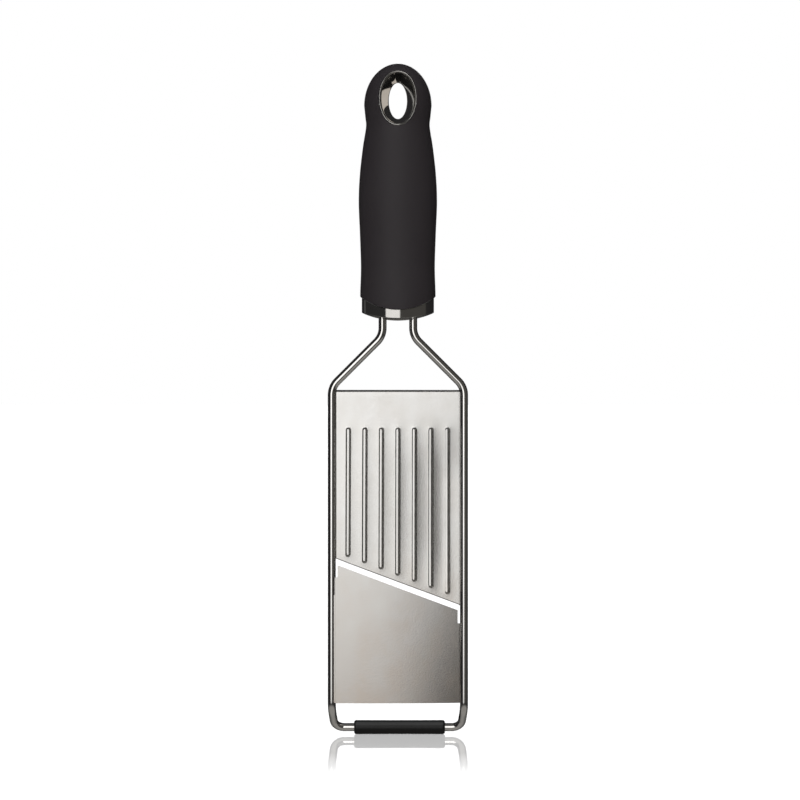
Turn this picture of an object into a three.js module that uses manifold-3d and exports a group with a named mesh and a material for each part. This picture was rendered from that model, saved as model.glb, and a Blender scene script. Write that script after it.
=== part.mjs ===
// A hand-held mandoline slicer. One bent steel wire carries a ribbed ramp and a slanted blade plate,
// a rubber sleeve sits on its foot, and both wire ends run up into a soft handle with a hanging hole.
//
// Millimetres. +Z points up to the handle, and the slicing face looks along -Y.
// Heights below are measured from the lowest point of the foot. The finished group is then moved
// so that the origin is the middle of the hanging hole.

import * as THREE from 'three';
import { mergeVertices } from 'three/addons/utils/BufferGeometryUtils.js';
import Module from 'manifold-3d';

const wasm = await Module();
wasm.setup();

const GAP = 0.3; // clearance between pieces that meet
const BIG = 60; // reach of a cutting block, past anything it cuts
const radians = THREE.MathUtils.degToRad;

// Wire frame: centreline corners, mirrored left to right
const WIRE_RADIUS = 1.9;
const WIRE_SIDES = 16;
const STEPS_PER_BEND = 7;
const WIRE_END_Z = 254;
const NECK_X = 7.4;
const NECK_CORNER_Z = 193.6;
const LEG_X = 31.95;
const SHOULDER_CORNER_Z = NECK_CORNER_Z - (LEG_X - NECK_X); // the shoulders run at 45 degrees
const SHOULDER_RADIUS = 9.5;
const KICK_CORNER_Z = 13.4; // the foot kicks back from here
const KICK_RADIUS = 8;
const FOOT_CORNER_X = 30.7;
const FOOT_CORNER_RADIUS = 5;
const FOOT_Y = 7;

// Rubber sleeve on the foot
const SLEEVE_RADIUS = 3.4;
const SLEEVE_LENGTH = 44.2;
const SLEEVE_EDGE_RADIUS = 1;
const SLEEVE_OFFSET_X = 0.8;

// Sheet plates
const SHEET = 0.8;
const RAMP_FRONT_Y = 0.7;
const RAMP_TOP_Z = 167.6;
const RAMP_HALF_WIDTH = LEG_X - WIRE_RADIUS - GAP;
const RAMP_DEPTH = 3;
const RAMP_EDGE_RADIUS = 1;
const RAMP_EDGE = { middleZ: 74.7, slope: radians(20.6) }; // its lower edge, above the slot

const RIB_COUNT = 7;
const RIB_PITCH = 8;
const RIB_HALF_WIDTH = 1.3;
const RIB_HEIGHT = 1;
const RIB_TOP_Z = 149.4;
const RIB_MARGIN = 3.2; // from the ribs' lower ends to the ramp's edge
const GROOVE_HALF_WIDTH = 0.65;

const BLADE_FRONT_Y = -2.65;
const BLADE_BOTTOM_Z = 16.4;
const BLADE_FLAT_HALF_WIDTH = 29.5;
const BLADE_BEND_RADIUS = 1.5;
const BLADE_BEND_ANGLE = radians(60);
const BLADE_EDGE = { middleZ: 72.15, slope: radians(20.6) };
const BLADE_LAND = 0.12; // thickness left at the cutting edge
const BLADE_GRIND = 2.5; // width of the ground bevel
const LEFT_NOTCH = { x: -29.1, z: 77.2 };
const RIGHT_NOTCH = { x: 28.85, z: 54.9 };
const LEFT_TRIM = { x: -30.45, z: 68.6 }; // the left flange is a little narrower above this height

// Handle: an oval section that follows one outline of half widths by height
const DEPTH_RATIO = 0.765;
const HANDLE_BASE_Z = 192;
const HANDLE_OUTLINE = [
	[18.22, HANDLE_BASE_Z],
	[18.22, 204],
	[18.2, 214.5],
	[17.86, 227],
	[18.35, 243],
	[18.94, 258.5],
	[18.4, 271.5],
	[16.98, 284.4],
	[15.68, 292.5],
	[15.35, 296],
	[15.7, 299],
	[16.3, 304.8],
];
const KNOB = { halfWidth: 16.3, middleZ: 304.8, halfHeight: 20.35 };

const GRIP_WALL = 2.6;
const GRIP_EDGE = { z: 205.7, radius: 27.9 }; // lowest point and radius of its arched lower edge
const CORE_WALL = 2.2;
const CORE_BASE_Z = 207.5;
const CORE_CAVITY = { bottom: 216, top: 284 };
const CORE_RIB = { first: 226, pitch: 12.4, count: 3, thickness: 2.4 };

const COLLAR_STEP = 0.8; // how far the collar sits inside the grip's surface
const COLLAR_EDGE = { z: 201.6, radius: 49 };
const PLUG_EDGE = { z: 202, radius: 49 }; // the plug sits a little way up inside the collar

// Hanging hole: an oval waist, flared to a thin rim on each face
const HANG_Z = 307.2;
const HOLE_HALF_WIDTH = 4.6;
const HOLE_HALF_HEIGHT = 8.95;
const RIM_OFFSET = 4.38; // from the waist's outline to the rim's outer edge
const RIM_WIDTH = 0.65;
const RIM_PROUD = 0.2;

// Steel plate that locks the wire ends inside the handle
const ANCHOR = { halfWidth: 11, halfHeight: 4.4, middleZ: 245.8, thickness: 1.5, corner: 1.5 };
const ANCHOR_HOLE_RADIUS = 1.6;

// ---------------------------------------------------------------- geometry and solids

/** A closed geometry as a solid that can be joined and cut. */
function solidOf(geometry) {
	const bare = geometry.clone();
	bare.deleteAttribute('normal');
	bare.deleteAttribute('uv');
	const welded = mergeVertices(bare, 1e-4);
	const corners = welded.index.array;
	const kept = [];
	for (let i = 0; i < corners.length; i += 3) {
		const [a, b, c] = corners.slice(i, i + 3);
		if (a !== b && b !== c && c !== a) {
			kept.push(a, b, c);
		}
	}
	return new wasm.Manifold(new wasm.Mesh({
		numProp: 3,
		vertProperties: new Float32Array(welded.attributes.position.array),
		triVerts: new Uint32Array(kept),
	}));
}

/** A solid as a geometry for a mesh. */
function geometryOf(solid) {
	const mesh = solid.getMesh();
	const geometry = new THREE.BufferGeometry();
	geometry.setAttribute('position', new THREE.BufferAttribute(mesh.vertProperties, 3));
	geometry.setIndex(new THREE.BufferAttribute(mesh.triVerts, 1));
	geometry.computeVertexNormals();
	return geometry;
}

/** A box between two corners. */
function block(x0, x1, y0, y1, z0, z1) {
	const geometry = new THREE.BoxGeometry(x1 - x0, y1 - y0, z1 - z0);
	geometry.translate((x0 + x1) / 2, (y0 + y1) / 2, (z0 + z1) / 2);
	return solidOf(geometry);
}

/** A shape drawn in X and Z, extruded from y0 to y1. */
function alongY(shape, y0, y1, curveSegments = 16) {
	const geometry = new THREE.ExtrudeGeometry(shape, {
		depth: y1 - y0,
		bevelEnabled: false,
		curveSegments,
	});
	geometry.rotateX(Math.PI / 2);
	geometry.translate(0, y1, 0);
	return solidOf(geometry);
}

/** Everything below an arched edge whose lowest point is at z on the centre plane. */
function belowArch({ z, radius }) {
	const shape = new THREE.Shape();
	shape.moveTo(-radius, z - BIG);
	shape.lineTo(radius, z - BIG);
	shape.lineTo(radius, z + radius);
	shape.absarc(0, z + radius, radius, 0, Math.PI, true);
	shape.closePath();
	return alongY(shape, -BIG, BIG, 24);
}

/** Everything above the same arched edge, lowered by drop. */
function aboveArch({ z, radius }, drop = 0) {
	const shape = new THREE.Shape();
	shape.absarc(0, z - drop + radius, radius, Math.PI, 2 * Math.PI, false);
	shape.lineTo(radius, z + 3 * BIG);
	shape.lineTo(-radius, z + 3 * BIG);
	shape.closePath();
	return alongY(shape, -BIG, BIG, 24);
}

/** A large block on the upper side of a sloping edge, tilted back by lean about that edge. */
function aboveEdge({ middleZ, slope }, y, lean) {
	const along = new THREE.Vector3(Math.cos(slope), 0, -Math.sin(slope));
	const up = new THREE.Vector3(Math.sin(slope), 0, Math.cos(slope));
	const normal = up.multiplyScalar(Math.cos(lean)).add(new THREE.Vector3(0, Math.sin(lean), 0));
	const across = new THREE.Vector3().crossVectors(normal, along);
	const geometry = new THREE.BoxGeometry(4 * BIG, 4 * BIG, 4 * BIG);
	geometry.translate(0, 0, 2 * BIG);
	geometry.applyMatrix4(new THREE.Matrix4().makeBasis(along, across, normal));
	geometry.translate(0, y, middleZ);
	return solidOf(geometry);
}

// ---------------------------------------------------------------- wire frame and sleeve

/** Centreline of a rod: straight runs between corners, each corner rounded to its own radius. */
class BentRod extends THREE.Curve {
	constructor(corners) {
		super();
		this.stations = [];
		corners.forEach((corner, i) => {
			const before = corners[i - 1];
			const after = corners[i + 1];
			const into = before && corner.at.clone().sub(before.at).normalize();
			const out = after && after.at.clone().sub(corner.at).normalize();
			if (into && out) {
				this.addBend(corner, into, out);
			} else {
				this.stations.push({ point: corner.at, tangent: into || out });
			}
		});
	}

	addBend({ at, radius }, into, out) {
		const angle = into.angleTo(out);
		const axis = new THREE.Vector3().crossVectors(into, out).normalize();
		const toCentre = out.clone().sub(into).normalize();
		const centre = at.clone().addScaledVector(toCentre, radius / Math.cos(angle / 2));
		const start = at.clone().addScaledVector(into, -radius * Math.tan(angle / 2));
		for (let k = 0; k <= STEPS_PER_BEND; k++) {
			const turn = angle * k / STEPS_PER_BEND;
			const spoke = start.clone().sub(centre).applyAxisAngle(axis, turn);
			const tangent = into.clone().applyAxisAngle(axis, turn);
			this.stations.push({ point: spoke.add(centre), tangent });
		}
	}

	station(t) {
		return this.stations[Math.round(t * (this.stations.length - 1))];
	}

	getPoint(t, target = new THREE.Vector3()) {
		return target.copy(this.station(t).point);
	}

	getTangent(t, target = new THREE.Vector3()) {
		return target.copy(this.station(t).tangent);
	}

	// Each step of the extrusion lands on one station, so bends are fine and straight runs are long.
	getUtoTmapping(u) {
		return u;
	}
}

function circle(radius) {
	return new THREE.Shape().absarc(0, 0, radius, 0, 2 * Math.PI, false);
}

/** One rod from the left wire end in the handle, round the foot, and back up to the right end. */
function wireFrame() {
	const half = [
		{ at: new THREE.Vector3(NECK_X, 0, WIRE_END_Z) },
		{ at: new THREE.Vector3(NECK_X, 0, NECK_CORNER_Z), radius: SHOULDER_RADIUS },
		{ at: new THREE.Vector3(LEG_X, 0, SHOULDER_CORNER_Z), radius: SHOULDER_RADIUS },
		{ at: new THREE.Vector3(LEG_X, 0, KICK_CORNER_Z), radius: KICK_RADIUS },
		{ at: new THREE.Vector3(FOOT_CORNER_X, FOOT_Y, SLEEVE_RADIUS), radius: FOOT_CORNER_RADIUS },
	];
	const mirror = new THREE.Vector3(-1, 1, 1);
	const left = half.map(({ at, radius }) => ({ at: at.clone().multiply(mirror), radius }));
	const rod = new BentRod([...left, ...half.reverse()]);
	return new THREE.ExtrudeGeometry(circle(WIRE_RADIUS), {
		steps: rod.stations.length - 1,
		curveSegments: WIRE_SIDES / 2,
		extrudePath: rod,
	});
}

/** A tube round the foot's crossbar, its ends rounded. */
function footSleeve() {
	const bore = WIRE_RADIUS + GAP;
	const half = SLEEVE_LENGTH / 2;
	const edge = SLEEVE_EDGE_RADIUS;
	const profile = new THREE.Path();
	profile.moveTo(bore, -half);
	profile.lineTo(SLEEVE_RADIUS - edge, -half);
	profile.absarc(SLEEVE_RADIUS - edge, edge - half, edge, -Math.PI / 2, 0, false);
	profile.absarc(SLEEVE_RADIUS - edge, half - edge, edge, 0, Math.PI / 2, false);
	profile.lineTo(bore, half);
	profile.lineTo(bore, -half);
	const geometry = new THREE.LatheGeometry(profile.getPoints(2), 20);
	geometry.rotateZ(-Math.PI / 2);
	geometry.translate(SLEEVE_OFFSET_X, FOOT_Y, SLEEVE_RADIUS);
	return geometryOf(solidOf(geometry));
}

// ---------------------------------------------------------------- ramp and blade plates

/** A tray standing upright, its front edges rounded and its back far behind. */
function rampTray(inset) {
	const round = Math.max(RAMP_EDGE_RADIUS - inset, 0.2);
	const side = RAMP_HALF_WIDTH - inset - round;
	const top = RAMP_TOP_Z - inset - round;
	const shape = new THREE.Shape();
	shape.moveTo(-side, 0);
	shape.lineTo(side, 0);
	shape.lineTo(side, top);
	shape.lineTo(-side, top);
	shape.closePath();
	const geometry = new THREE.ExtrudeGeometry(shape, {
		depth: BIG,
		bevelThickness: round,
		bevelSize: round,
		bevelSegments: 3,
	});
	geometry.rotateX(Math.PI / 2);
	geometry.translate(0, RAMP_FRONT_Y + inset + BIG + round, 0);
	return solidOf(geometry);
}

/** Where each rib stands, and its lower end: the ribs start level and stop beside the slot. */
function ribPlaces() {
	return Array.from({ length: RIB_COUNT }, (_, i) => {
		const x = (i - (RIB_COUNT - 1) / 2) * RIB_PITCH;
		const bottom = RAMP_EDGE.middleZ - x * Math.tan(RAMP_EDGE.slope) + RIB_MARGIN;
		return { x, bottom };
	});
}

/** Round-ended bar of the given half width, standing from bottom to top, centred on (x, y). */
function bar(x, y, bottom, top, halfWidth, halfDepth) {
	const geometry = new THREE.CapsuleGeometry(halfWidth, top - bottom - 2 * halfWidth, 2, 10);
	geometry.rotateX(Math.PI / 2);
	geometry.scale(1, halfDepth / halfWidth, 1);
	geometry.translate(x, y, (top + bottom) / 2);
	return solidOf(geometry);
}

/** The ribbed plate that food slides down, with flanges turned back at both sides and the top. */
function rampPlate() {
	const back = RAMP_FRONT_Y + SHEET;
	const behind = block(-BIG, BIG, back - 0.2, BIG, -BIG, 4 * BIG);
	let plate = rampTray(0).subtract(rampTray(SHEET));
	plate = plate.subtract(block(-BIG, BIG, RAMP_FRONT_Y + RAMP_DEPTH, 3 * BIG, -BIG, 4 * BIG));
	for (const { x, bottom } of ribPlaces()) {
		const rib = bar(x, RAMP_FRONT_Y, bottom, RIB_TOP_Z, RIB_HALF_WIDTH, RIB_HEIGHT);
		const inset = RIB_HALF_WIDTH - GROOVE_HALF_WIDTH;
		const groove = bar(x, back, bottom + inset, RIB_TOP_Z - inset, GROOVE_HALF_WIDTH, RIB_HEIGHT);
		plate = plate.add(rib.subtract(behind)).subtract(groove);
	}
	return geometryOf(plate.intersect(aboveEdge(RAMP_EDGE, 0, 0)));
}

/** The plate below the slot: flat, its sides rolled back onto the wires, its top edge ground. */
function bladePlate() {
	const flat = BLADE_FLAT_HALF_WIDTH;
	const outer = BLADE_BEND_RADIUS;
	const inner = BLADE_BEND_RADIUS - SHEET;
	const bendY = BLADE_FRONT_Y + BLADE_BEND_RADIUS;
	const down = -Math.PI / 2;
	const shape = new THREE.Shape();
	shape.absarc(flat, bendY, outer, down, down + BLADE_BEND_ANGLE, false);
	shape.absarc(flat, bendY, inner, down + BLADE_BEND_ANGLE, down, true);
	shape.absarc(-flat, bendY, inner, down, down - BLADE_BEND_ANGLE, true);
	shape.absarc(-flat, bendY, outer, down - BLADE_BEND_ANGLE, down, false);
	shape.closePath();
	const geometry = new THREE.ExtrudeGeometry(shape, {
		depth: RAMP_EDGE.middleZ,
		bevelEnabled: false,
		curveSegments: 4,
	});
	geometry.translate(0, 0, BLADE_BOTTOM_Z);
	const lean = Math.PI / 2 - Math.atan((SHEET - BLADE_LAND) / BLADE_GRIND);
	return geometryOf(solidOf(geometry)
		.subtract(aboveEdge(BLADE_EDGE, 0, 0))
		.subtract(aboveEdge(BLADE_EDGE, BLADE_FRONT_Y + BLADE_LAND, lean))
		.subtract(block(-BIG, LEFT_NOTCH.x, -BIG, BIG, LEFT_NOTCH.z, 4 * BIG))
		.subtract(block(-BIG, LEFT_TRIM.x, -BIG, BIG, LEFT_TRIM.z, 4 * BIG))
		.subtract(block(RIGHT_NOTCH.x, BIG, -BIG, BIG, RIGHT_NOTCH.z, 4 * BIG)));
}

// ---------------------------------------------------------------- handle

const handleOutline = new THREE.CurvePath();
handleOutline.add(new THREE.SplineCurve(HANDLE_OUTLINE.map(([x, z]) => new THREE.Vector2(x, z))));
handleOutline.add(new THREE.EllipseCurve(
	0, KNOB.middleZ, KNOB.halfWidth, KNOB.halfHeight, 0, Math.PI / 2, false,
));

/** The handle's oval body, all over smaller by inset. */
function handleBody(inset, segments = 24, levels = 22) {
	const rings = [{ radius: 0, z: HANDLE_BASE_Z, squeeze: 1 }];
	for (let i = 0; i <= levels; i++) {
		const point = handleOutline.getPoint(i / levels);
		const tangent = handleOutline.getTangent(i / levels);
		const radius = i < levels ? point.x - inset * tangent.y : 0;
		const halfDepth = point.x * DEPTH_RATIO - inset * tangent.y;
		rings.push({
			radius,
			z: point.y + inset * tangent.x,
			squeeze: radius > 0 ? halfDepth / radius : 1,
		});
	}
	const profile = rings.map(({ radius, z }) => new THREE.Vector2(radius, z));
	const geometry = new THREE.LatheGeometry(profile, segments);
	geometry.rotateX(Math.PI / 2);
	const position = geometry.attributes.position;
	for (let i = 0; i < position.count; i++) {
		position.setY(i, position.getY(i) * rings[i % rings.length].squeeze);
	}
	return solidOf(geometry);
}

/** Point of the hanging hole's oval at an angle, pushed outwards by offset. */
function holePoint(angle, offset) {
	const x = HOLE_HALF_WIDTH * Math.sin(angle);
	const z = HOLE_HALF_HEIGHT * Math.cos(angle);
	const normal = new THREE.Vector2(x / HOLE_HALF_WIDTH ** 2, z / HOLE_HALF_HEIGHT ** 2).normalize();
	return new THREE.Vector2(x + offset * normal.x, HANG_Z + z + offset * normal.y);
}

/** A straight oval bar through the handle, larger than the hole by offset. */
function holeBar(offset, sides = 32) {
	const points = Array.from({ length: sides }, (_, i) => holePoint(2 * Math.PI * i / sides, offset));
	return alongY(new THREE.Shape(points), -BIG, BIG);
}

/** Depth of the handle's front face in front of the centre plane. */
function faceDepth({ x, y: z }) {
	const rise = (z - KNOB.middleZ) / KNOB.halfHeight;
	const halfWidth = KNOB.halfWidth * Math.sqrt(1 - rise * rise);
	return DEPTH_RATIO * Math.sqrt(halfWidth ** 2 - x ** 2);
}

/** Two upright bars that clear the wire ends. */
function wireChannels(bottom, top) {
	const side = new THREE.CylinderGeometry(
		WIRE_RADIUS + GAP, WIRE_RADIUS + GAP, top - bottom, 12,
	);
	side.rotateX(Math.PI / 2);
	side.translate(NECK_X, 0, (top + bottom) / 2);
	const right = solidOf(side);
	side.translate(-2 * NECK_X, 0, 0);
	return right.add(solidOf(side));
}

/** The soft skin: closed over the top, open at its arched lower edge, pierced by the hole. */
function softGrip() {
	return geometryOf(handleBody(0, 32, 26)
		.subtract(handleBody(GRIP_WALL))
		.subtract(belowArch(GRIP_EDGE))
		.subtract(holeBar(RIM_OFFSET + GAP)));
}

/** The front half of the hard core: a shell with cross ribs that clamp the wire ends. */
function coreShell() {
	const inset = GRIP_WALL + GAP;
	let cavity = handleBody(inset + CORE_WALL)
		.subtract(block(-BIG, BIG, -BIG, BIG, 0, CORE_CAVITY.bottom))
		.subtract(block(-BIG, BIG, -BIG, BIG, CORE_CAVITY.top, 6 * BIG));
	for (let i = 0; i < CORE_RIB.count; i++) {
		const bottom = CORE_RIB.first + i * CORE_RIB.pitch;
		cavity = cavity.subtract(block(-BIG, BIG, -BIG, BIG, bottom, bottom + CORE_RIB.thickness));
	}
	return geometryOf(handleBody(inset)
		.subtract(block(-BIG, BIG, -BIG, BIG, 0, CORE_BASE_Z))
		.subtract(cavity)
		.subtract(wireChannels(CORE_BASE_Z - 1, WIRE_END_Z + GAP))
		.subtract(holeBar(RIM_OFFSET + GAP))
		.subtract(block(-BIG, BIG, -GAP / 2, BIG, 0, 6 * BIG)));
}

/** The polished band below the grip, arched above and below. */
function collar() {
	return geometryOf(handleBody(COLLAR_STEP)
		.subtract(handleBody(GRIP_WALL))
		.subtract(belowArch(COLLAR_EDGE))
		.subtract(aboveArch(GRIP_EDGE, GAP)));
}

/** The plug that closes the collar round the two wires. */
function neckPlug() {
	return geometryOf(handleBody(GRIP_WALL + GAP)
		.subtract(block(-BIG, BIG, -BIG, BIG, CORE_BASE_Z - GAP, 6 * BIG))
		.subtract(belowArch(PLUG_EDGE))
		.subtract(wireChannels(HANDLE_BASE_Z, WIRE_END_Z)));
}

/** The front half of the hole's liner, from its waist out to a thin rim flush with the grip. */
function hangRing() {
	const flare = RIM_OFFSET - RIM_WIDTH;
	const profile = new THREE.Path();
	profile.moveTo(RIM_OFFSET, 0);
	profile.lineTo(0, 0);
	profile.absellipse(flare, 0, flare, 1, Math.PI, Math.PI / 2, true);
	profile.lineTo(RIM_OFFSET, 1);
	profile.lineTo(RIM_OFFSET, 0);
	const hub = 1; // keeps the profile off the axis while it is turned
	const points = profile.getPoints(4).map(({ x, y }) => new THREE.Vector2(x + hub, y));
	const geometry = new THREE.LatheGeometry(points, 32);
	const position = geometry.attributes.position;
	for (let i = 0; i < position.count; i++) {
		const spoke = new THREE.Vector2(position.getX(i), position.getZ(i));
		const angle = Math.atan2(spoke.x, spoke.y);
		const place = holePoint(angle, spoke.length() - hub);
		const depth = faceDepth(holePoint(angle, RIM_OFFSET)) + RIM_PROUD;
		const y = -THREE.MathUtils.lerp(GAP / 2, depth, position.getY(i));
		position.setXYZ(i, place.x, y, place.y);
	}
	return geometryOf(solidOf(geometry));
}

/** A small drilled plate, fixed across the backs of both wire ends. */
function anchorPlate() {
	const { halfWidth, halfHeight, middleZ, thickness, corner } = ANCHOR;
	const shape = new THREE.Shape();
	const [dx, dz] = [halfWidth - corner, halfHeight - corner];
	shape.absarc(dx, middleZ - dz, corner, -Math.PI / 2, 0, false);
	shape.absarc(dx, middleZ + dz, corner, 0, Math.PI / 2, false);
	shape.absarc(-dx, middleZ + dz, corner, Math.PI / 2, Math.PI, false);
	shape.absarc(-dx, middleZ - dz, corner, Math.PI, 1.5 * Math.PI, false);
	shape.closePath();
	shape.holes.push(new THREE.Path().absarc(0, middleZ, ANCHOR_HOLE_RADIUS, 0, 2 * Math.PI, true));
	const front = WIRE_RADIUS + GAP;
	return geometryOf(alongY(shape, front, front + thickness, 4));
}

// ---------------------------------------------------------------- assembly

const steel = { color: 0xbfbdb8, roughness: 0.3, metalness: 1 };
const brightTrim = { color: 0xb4b2ae, roughness: 0.08, metalness: 1 };
const hardPlastic = { color: 0x2c2c2e, roughness: 0.5, metalness: 0 };

function piece(name, geometry, look) {
	const mesh = new THREE.Mesh(geometry, new THREE.MeshStandardMaterial(look));
	mesh.name = name;
	return mesh;
}

/** The same piece turned to face backwards. */
function turned(mesh) {
	mesh.rotation.z = Math.PI;
	return mesh;
}

const frame = new THREE.Group();
frame.add(
	piece('wire_frame', wireFrame(), { ...steel, roughness: 0.22 }),
	piece('foot_sleeve', footSleeve(), { color: 0x1d1c1d, roughness: 0.6, metalness: 0 }),
	piece('ramp_plate', rampPlate(), { ...steel, color: 0xd2cfc9 }),
	piece('blade_plate', bladePlate(), steel),
);

const handle = new THREE.Group();
handle.add(
	piece('soft_grip', softGrip(), { color: 0x2b2a2c, roughness: 0.65, metalness: 0 }),
	piece('core_front_shell', coreShell(), hardPlastic),
	turned(piece('core_back_shell', coreShell(), hardPlastic)),
	piece('anchor_plate', anchorPlate(), { color: 0x9a9a9a, roughness: 0.4, metalness: 1 }),
	piece('collar', collar(), brightTrim),
	piece('neck_plug', neckPlug(), brightTrim),
	piece('hang_ring_front', hangRing(), brightTrim),
	turned(piece('hang_ring_back', hangRing(), brightTrim)),
);

const slicer = new THREE.Group();
slicer.add(frame, handle);
slicer.position.z = -HANG_Z;

export default slicer;
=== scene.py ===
import math

import bmesh
import bpy
import numpy as np
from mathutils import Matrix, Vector


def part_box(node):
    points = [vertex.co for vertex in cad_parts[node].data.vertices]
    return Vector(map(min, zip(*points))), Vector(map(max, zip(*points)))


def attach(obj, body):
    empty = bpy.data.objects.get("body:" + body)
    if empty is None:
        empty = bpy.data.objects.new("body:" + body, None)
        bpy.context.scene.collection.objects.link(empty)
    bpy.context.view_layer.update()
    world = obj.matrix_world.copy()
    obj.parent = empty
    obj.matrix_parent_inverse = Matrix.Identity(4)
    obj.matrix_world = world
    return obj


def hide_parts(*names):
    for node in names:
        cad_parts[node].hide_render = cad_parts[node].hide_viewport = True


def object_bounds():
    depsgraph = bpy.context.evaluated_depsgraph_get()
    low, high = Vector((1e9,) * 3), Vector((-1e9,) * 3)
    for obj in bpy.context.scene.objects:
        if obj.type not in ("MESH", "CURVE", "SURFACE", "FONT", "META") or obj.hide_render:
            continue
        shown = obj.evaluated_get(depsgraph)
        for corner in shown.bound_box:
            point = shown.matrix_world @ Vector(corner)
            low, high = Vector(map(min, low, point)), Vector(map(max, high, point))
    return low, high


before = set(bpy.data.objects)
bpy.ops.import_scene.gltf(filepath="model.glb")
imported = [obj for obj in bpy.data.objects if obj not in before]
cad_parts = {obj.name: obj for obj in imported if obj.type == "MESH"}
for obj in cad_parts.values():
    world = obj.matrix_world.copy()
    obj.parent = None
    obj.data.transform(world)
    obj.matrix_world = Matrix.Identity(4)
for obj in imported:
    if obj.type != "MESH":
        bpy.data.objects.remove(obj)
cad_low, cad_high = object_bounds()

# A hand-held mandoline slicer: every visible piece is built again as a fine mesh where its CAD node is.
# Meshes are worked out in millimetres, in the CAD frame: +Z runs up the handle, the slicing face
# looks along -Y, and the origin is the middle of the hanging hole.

MM = 0.001


def node_box(node):
    """Lowest and highest corner of a CAD node, in millimetres."""
    low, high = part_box(node)
    return np.array(low) / MM, np.array(high) / MM


wire_low, wire_high = node_box("wire_frame")
ramp_high = node_box("ramp_plate")[1]
blade_low, blade_high = node_box("blade_plate")
sleeve_low, sleeve_high = node_box("foot_sleeve")
FOOT_Z = cad_low.z / MM  # the foot's lowest point, from which heights are measured

# Wire frame: a corner is where the centre lines of two straight runs would meet
WIRE_RADIUS = -wire_low[1]
WIRE_FULLNESS = 0.05  # how much thicker the wire is drawn than in CAD, in radius
WIRE_CHAMFER = 0.4
WIRE_SIDES = 40
NECK_X = 7.4
NECK_CORNER_Z = FOOT_Z + 193.6
LEG_X = wire_high[0] - WIRE_RADIUS
SHOULDER_CORNER_Z = NECK_CORNER_Z - (LEG_X - NECK_X)
SHOULDER_RADIUS = 9.5
KICK_CORNER_Z = FOOT_Z + 13.4  # where the legs turn back towards the crossbar
KICK_RADIUS = 11
FOOT_CORNER_X = 30.7
FOOT_CORNER_RADIUS = 5
FOOT_Y = (sleeve_low[1] + sleeve_high[1]) / 2
FOOT_BAR_Z = (sleeve_low[2] + sleeve_high[2]) / 2

# Ramp: a folded sheet with pressed ribs
SHEET = 0.8
SLOT_SLOPE = math.tan(math.radians(20.6))  # the slot runs down to the right between two parallel edges
RAMP_FRONT_Y = 0.7
RAMP_LEFT = (29.65, 0.85)  # where a side's bend starts, and its radius: both tuck in behind the wires
RAMP_RIGHT = (30.05, 0.2)
RAMP_TOP_BEND = 1.5
RAMP_EDGE_MIDDLE_Z = FOOT_Z + 74.7
RAMP_EDGE_ROUND = 0.3
RAMP_BOW = (-0.9, 2.9, -0.6, -0.6)  # slope of the bowed sheet in degrees, at the four places below
RAMP_BOW_PLACES = (-RAMP_RIGHT[0], 19.5, 26, RAMP_RIGHT[0])
RAMP_BOW_HEAD = (FOOT_Z + 158, 36)  # height below which the sheet bows, and the run to its full bow
RAMP_BOW_EDGE = (0.4, 34)  # share of the bow at the slanted edge, and the run up to the full bow
RIB_COUNT = 7
RIB_PITCH = 8
RIB_TOP_Z = FOOT_Z + 149.4
RIB_MARGIN = 3.2
RIB_HEIGHT = 1.0
RIB_CREST = 0.5  # half width of a rib's flat top
RIB_LEFT_RUN = (0.75, 0.14)  # width of a rib's left side, on the first rib and on the last
RIB_RIGHT_RUN = (0.75, 1.15)
RIB_REACH = RIB_CREST + RIB_LEFT_RUN[0]
RIB_SKIRT = 0.06  # how far the sheet is drawn up round a rib
RIB_SKIRT_RUN = 1.6
RIB_TILT = (0.0, 0.07)  # slope of a rib's crest, on the first rib and on the last
RIB_LEAN = (0.3, 75)  # how far left the first rib's foot stands of its head, and over what height
GROOVE_DEPTH = 0.8  # the groove behind a rib, as a share of the rib's height
GROOVE_INSET = 0.45

# Blade plate
BLADE_HALF_WIDTH = 30.85
BLADE_JOGGLE = (29.75, 0.6, 0.1)  # start, width and depth of the step back onto each wire
BLADE_LEAN = 0.7  # how much further forward the plate's top stands than its foot
BLADE_PIVOT = 0.4  # share of the way down at which the lean leaves the plate where it was
BLADE_BOW_HEAD = (-1.3, 0.9, 2.0)  # slope in degrees at the left side, middle and right side
BLADE_BOW_FOOT = (-1.3, 1.2, 4.1)
BLADE_EDGE_MIDDLE_Z = FOOT_Z + 72.15
BLADE_EDGE_ROUND = 0.05
BLADE_CORNER = 1.0
BLADE_LAND = 0.12  # thickness left at the cutting edge
BLADE_GRIND = 2.5  # width of the ground wedge behind it
# where the top is cut away beside the wires: the place across, and the height it is cut to
LEFT_NOTCH = (-29.1, FOOT_Z + 77.2)
LEFT_TRIM = (-30.45, FOOT_Z + 68.6)
RIGHT_NOTCH = (28.85, FOOT_Z + 54.9)

# Handle: half widths of its outline by height, then an elliptical knob
DEPTH_RATIO = 0.765
OUTLINE = [
    (18.22, 192), (18.22, 204), (18.2, 214.5), (17.86, 227), (18.35, 243), (18.94, 258.5),
    (18.4, 271.5), (16.98, 284.4), (15.68, 292.5), (15.35, 296), (15.7, 299), (16.3, 304.8),
]
KNOB_HALF_WIDTH = 16.3
KNOB_Z = FOOT_Z + 304.8
KNOB_HALF_HEIGHT = 20.35
GRIP_WALL = 2.6
GRIP_LIP = 0.4
GRIP_LEVEL = FOOT_Z + 226  # above this height the grip's rings are level
GRIP_EDGE = (FOOT_Z + 205.7, 27.9)  # lowest point and radius of its arched lower edge
COLLAR_STEP = 0.8
COLLAR_EDGE = (FOOT_Z + 201.6, 49)
COLLAR_ROUND = 0.25  # outside its lower edge
COLLAR_BEVEL = 0.45  # inside its lower edge
PLUG_EDGE = (FOOT_Z + 202, 49)  # the plug sits a little way up inside the collar
PLUG_TOP_Z = FOOT_Z + 207.2
PLUG_OVERLAP = 0.03
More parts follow.
